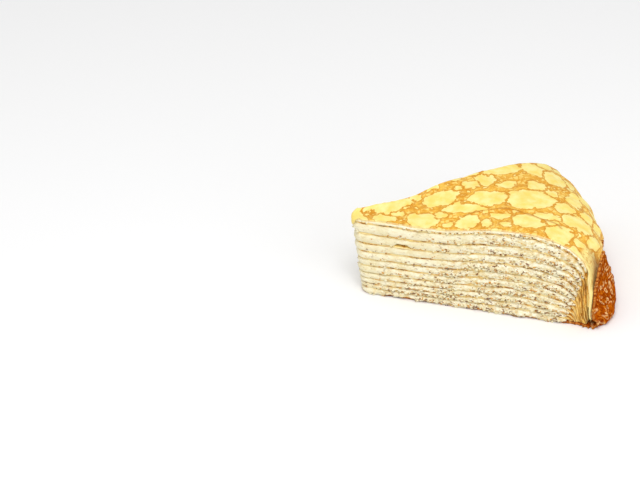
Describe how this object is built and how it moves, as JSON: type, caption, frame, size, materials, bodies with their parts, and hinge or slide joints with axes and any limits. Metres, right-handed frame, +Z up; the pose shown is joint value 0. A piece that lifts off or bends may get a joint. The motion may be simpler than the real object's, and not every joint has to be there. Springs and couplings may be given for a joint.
{
  "type": "crepe cake slice",
  "caption": "Wedge slice of a layered crepe cake: thin crepes and whipped cream in turn, crepe edges hanging down the rim, dark base crepe folded up.",
  "frame": {"origin": "on the flat underside of the base crepe, under the middle of the slice", "axes": "+X along the front cut face from the tip to the rim, +Y across the slice towards the other cut face, +Z up through the layers"},
  "size_m": [0.1056, 0.0735, 0.0396],
  "materials": {
    "top_crepe": "thin egg crepe, pale yellow with a lacy golden-brown pattern of browning, soft satin surface",
    "inner_crepe": "cut and torn edges of thin crepes, tan to gold, with browned bits",
    "base_crepe": "well browned crepe, mottled dark brown with pale blisters, wrinkled",
    "cream": "whipped cream, ivory, soft and slightly translucent, rough where a knife has smeared it"
  },
  "bodies": {
    "root": {"crepe_01_base": "base_crepe", "crepe_02": "inner_crepe", "crepe_03": "inner_crepe", "crepe_04": "inner_crepe", "crepe_05": "inner_crepe", "crepe_06": "inner_crepe", "crepe_07": "inner_crepe", "crepe_08": "inner_crepe", "crepe_09": "inner_crepe", "crepe_10": "inner_crepe", "crepe_11": "inner_crepe", "crepe_12_top": "top_crepe", "cream_01": "cream", "cream_02": "cream", "cream_03": "cream", "cream_04": "cream", "cream_05": "cream", "cream_06": "cream", "cream_07": "cream", "cream_08": "cream", "cream_09": "cream", "cream_10": "cream", "cream_11": "cream"}
  },
  "joints": []
}
